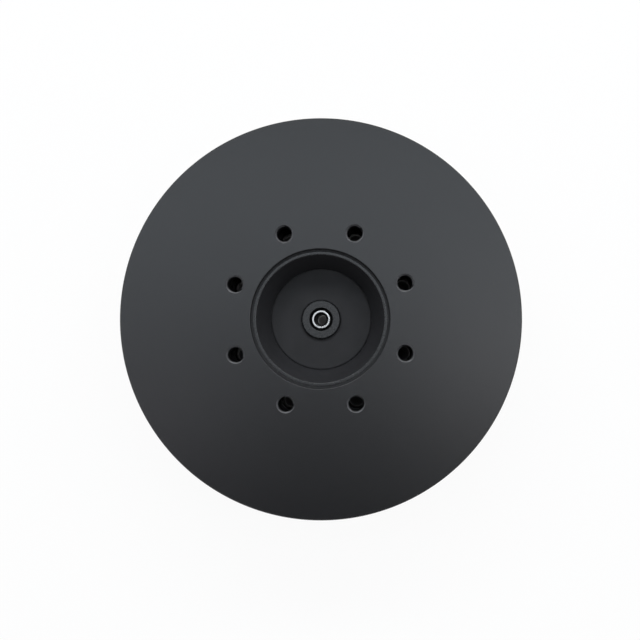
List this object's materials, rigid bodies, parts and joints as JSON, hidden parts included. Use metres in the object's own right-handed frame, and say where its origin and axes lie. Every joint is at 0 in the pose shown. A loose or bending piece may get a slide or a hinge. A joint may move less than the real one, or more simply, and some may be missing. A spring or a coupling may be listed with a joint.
{
  "type": "gimbal motor",
  "caption": "Flat outer-rotor brushless gimbal motor: tapped rotor face with a pilot and a deep cup, hollow shaft on ball bearings, slotted stator and tapped base.",
  "frame": {"origin": "centre of the rear mounting face, on the shaft axis", "axes": "+Z along the shaft towards the rotor's face, -Y towards the lead exit in the base's rim"},
  "size_m": [0.088, 0.088, 0.0275],
  "materials": {
    "anodised_bell": "black anodised over fine blasting, satin",
    "anodised_base": "black anodised over fine blasting, satin",
    "flux_steel": "zinc plated, rolled",
    "magnet": "nickel plated",
    "shaft_steel": "ground and polished",
    "bearing_steel": "ground bearing steel",
    "cage_steel": "pressed sheet",
    "spring_steel": "oiled spring steel",
    "core_steel": "stacked laminations under lacquer",
    "insulating_board": "fibre board",
    "enamelled_copper": "enamelled winding wire",
    "grommet_rubber": "moulded, matt",
    "heat_shrink": "shrunk sleeve, satin"
  },
  "bodies": {
    "stator": {"stator_base": "anodised_base", "stator_core": "core_steel", "front_end_insulator": "insulating_board", "rear_end_insulator": "insulating_board", "coils_phase_a": "enamelled_copper", "coils_phase_b": "enamelled_copper", "coils_phase_c": "enamelled_copper", "front_bearing_outer_race": "bearing_steel", "rear_bearing_outer_race": "bearing_steel", "front_bearing_shields": "cage_steel", "rear_bearing_shields": "cage_steel", "bearing_wave_spring": "spring_steel", "lead_grommet": "grommet_rubber", "star_splice_sleeve": "heat_shrink"},
    "rotor": {"rotor_bell": "anodised_bell", "flux_ring": "flux_steel", "magnets_north": "magnet", "magnets_south": "magnet", "shaft": "shaft_steel", "front_bearing_inner_race": "bearing_steel", "rear_bearing_inner_race": "bearing_steel", "inner_race_spacer": "shaft_steel", "front_shim": "spring_steel", "rear_thrust_washer": "spring_steel", "shaft_circlip": "spring_steel"},
    "front_cage": {"front_bearing_balls": "bearing_steel", "front_bearing_cage": "cage_steel"},
    "rear_cage": {"rear_bearing_balls": "bearing_steel", "rear_bearing_cage": "cage_steel"}
  },
  "joints": [
    {"name": "rotor_spin", "type": "hinge", "parent": "stator", "child": "rotor", "pos_m": [0, 0, 0.014], "axis": [0, 0, 1], "continuous": true},
    {"name": "front_cage_spin", "type": "hinge", "parent": "stator", "child": "front_cage", "pos_m": [0, 0, 0.0122], "axis": [0, 0, 1], "continuous": true},
    {"name": "rear_cage_spin", "type": "hinge", "parent": "stator", "child": "rear_cage", "pos_m": [0, 0, 0.0046], "axis": [0, 0, 1], "continuous": true}
  ],
  "couplings": [
    {"joint": "front_cage_spin", "follows": "rotor_spin", "ratio": 0.36667},
    {"joint": "rear_cage_spin", "follows": "rotor_spin", "ratio": 0.36667}
  ]
}
